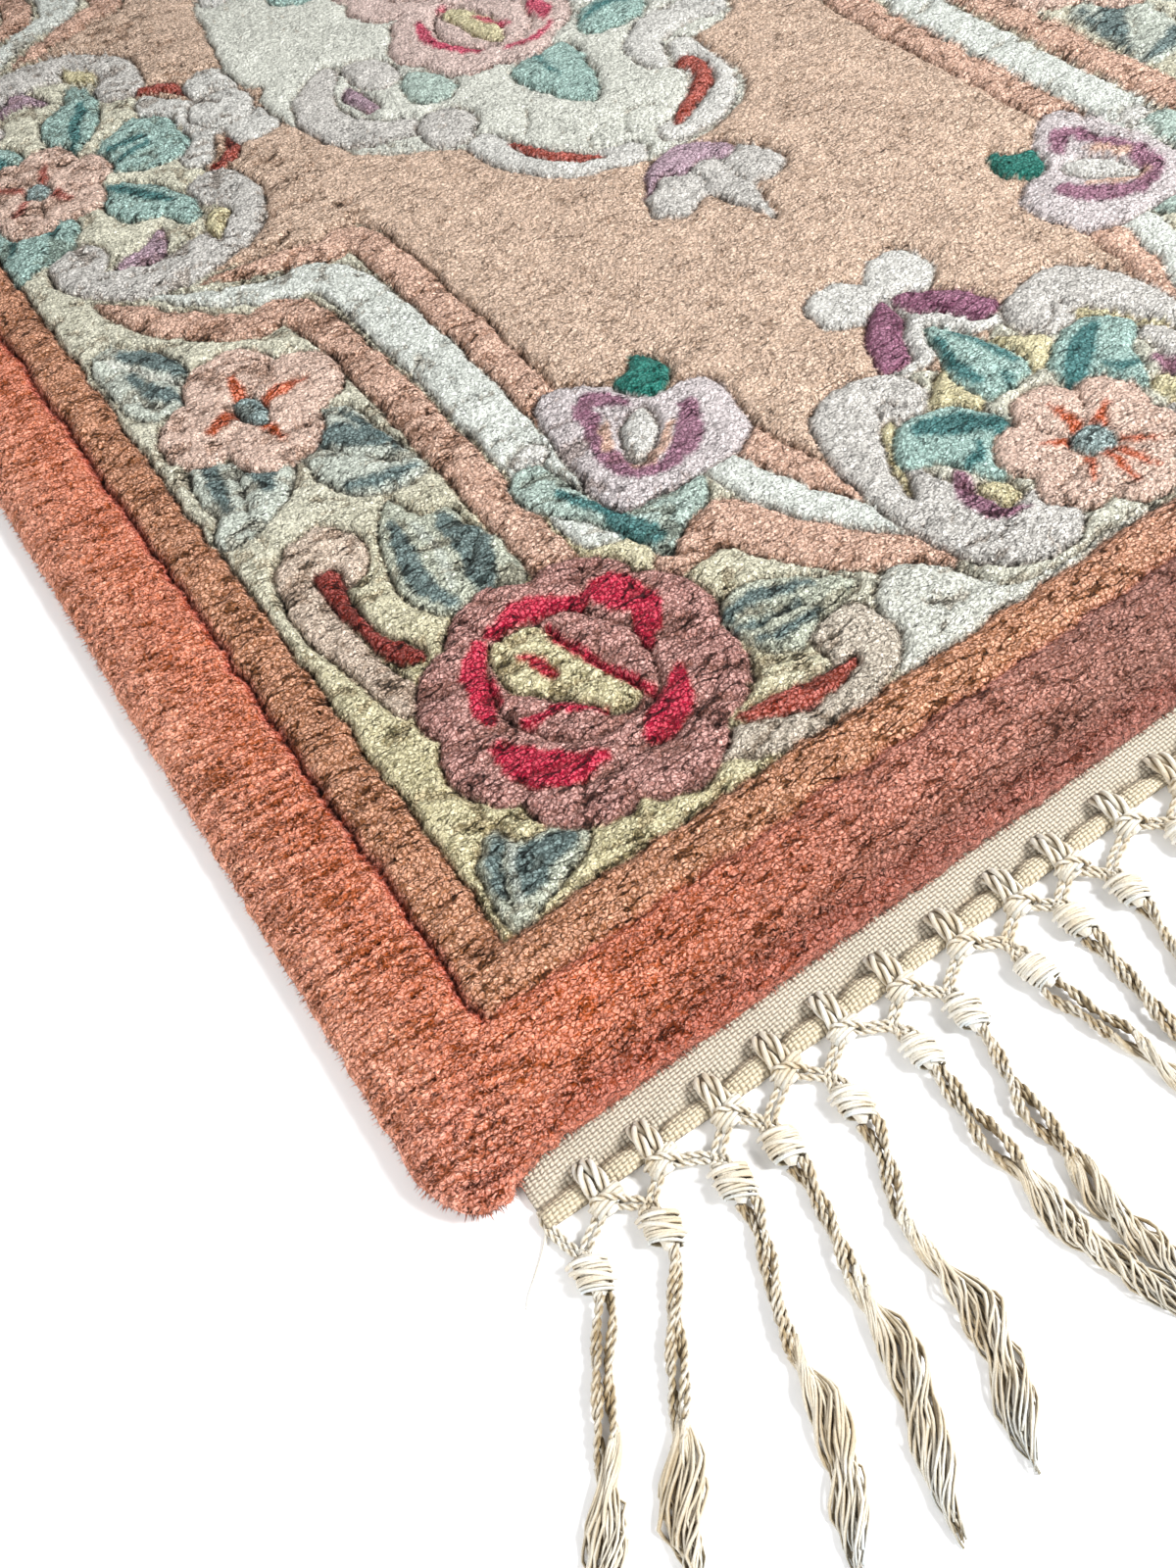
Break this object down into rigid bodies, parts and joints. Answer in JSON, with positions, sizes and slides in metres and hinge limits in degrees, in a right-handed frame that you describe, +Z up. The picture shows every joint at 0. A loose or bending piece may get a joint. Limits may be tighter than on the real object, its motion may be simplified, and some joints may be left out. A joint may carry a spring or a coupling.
{
  "type": "rug",
  "caption": "Rectangular hand-knotted wool rug with a carved floral pile, woven cotton web ends and a knotted cotton fringe, lying flat.",
  "frame": {"origin": "middle of the underside, on the floor", "axes": "+Z up out of the pile, +Y along the rug's length, +X across its width"},
  "size_m": [0.9692, 1.9036, 0.016],
  "materials": {
    "wool_pile": "matte cut wool pile",
    "cotton_foundation": "matte plain-woven cotton",
    "cotton_fringe": "matte twisted cotton cord",
    "cotton_fringe_back": "matte twisted cotton cord"
  },
  "bodies": {
    "root": {"pile": "wool_pile", "foundation": "cotton_foundation", "fringe_front": "cotton_fringe", "fringe_back": "cotton_fringe_back"}
  },
  "joints": []
}
